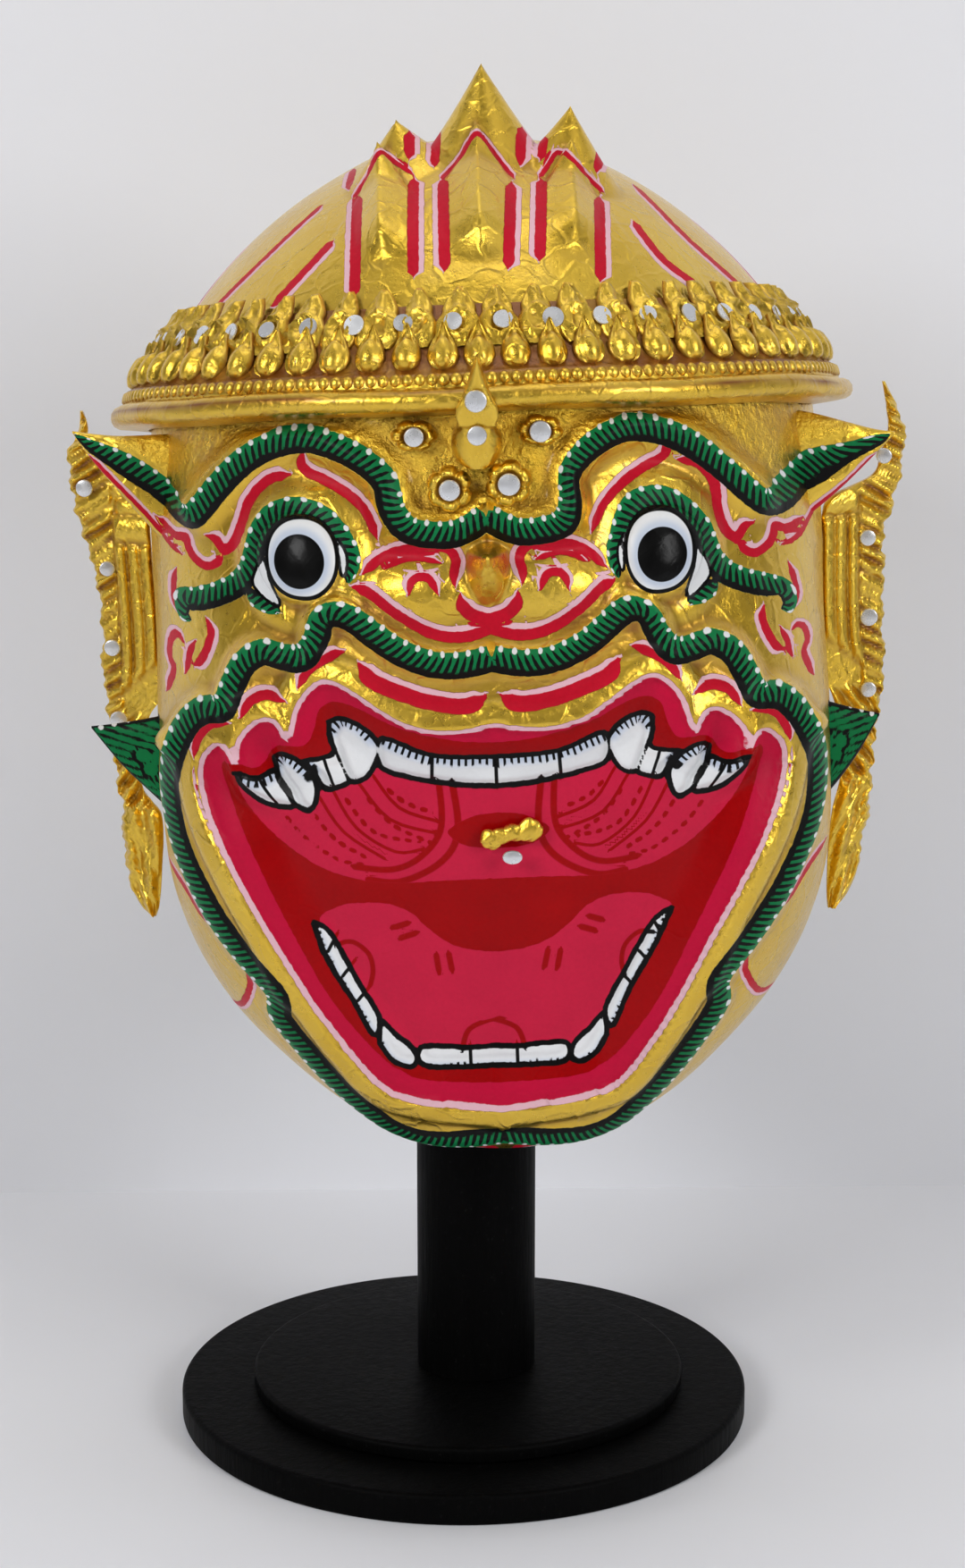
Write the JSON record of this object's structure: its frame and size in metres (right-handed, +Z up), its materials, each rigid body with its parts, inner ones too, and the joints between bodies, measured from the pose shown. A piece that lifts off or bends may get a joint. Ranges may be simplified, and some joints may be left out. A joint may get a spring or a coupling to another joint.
{
  "type": "theatre mask on stand",
  "caption": "Full-head gilded papier-mache dance-drama mask with a crown of points, open below, resting on a round black turned stand.",
  "frame": {"origin": "middle of the stand's underside, on the table", "axes": "+Z up, the face looks along -Y, the wearer's left side is at +X"},
  "size_m": [0.2484, 0.2454, 0.4186],
  "materials": {
    "gilt_lacquer": "gold leaf over lacquered papier-mache, with painted green, red and white patterns",
    "mirror_glass": "polished, small round pieces of silvered glass",
    "black_paint": "satin black paint on turned wood"
  },
  "bodies": {
    "root": {"diadem_band": "gilt_lacquer", "ear_ornament_left": "gilt_lacquer", "ear_ornament_right": "gilt_lacquer", "forehead_boss_left_lower": "gilt_lacquer", "forehead_boss_left_upper": "gilt_lacquer", "forehead_boss_right_lower": "gilt_lacquer", "forehead_boss_right_upper": "gilt_lacquer", "forehead_finial": "gilt_lacquer", "mask_shell": "gilt_lacquer", "mirror_boss_left_lower": "mirror_glass", "mirror_boss_left_upper": "mirror_glass", "mirror_boss_right_lower": "mirror_glass", "mirror_boss_right_upper": "mirror_glass", "mirror_finial_lower": "mirror_glass", "mirror_finial_upper": "mirror_glass", "mirror_flap_left_1": "mirror_glass", "mirror_flap_left_2": "mirror_glass", "mirror_flap_left_3": "mirror_glass", "mirror_flap_left_4": "mirror_glass", "mirror_flap_right_1": "mirror_glass", "mirror_flap_right_2": "mirror_glass", "mirror_flap_right_3": "mirror_glass", "mirror_flap_right_4": "mirror_glass", "mirror_mouth": "mirror_glass", "mouth_jewel": "gilt_lacquer", "stand_base": "black_paint", "stand_post": "black_paint", "stand_step": "black_paint"}
  },
  "joints": []
}
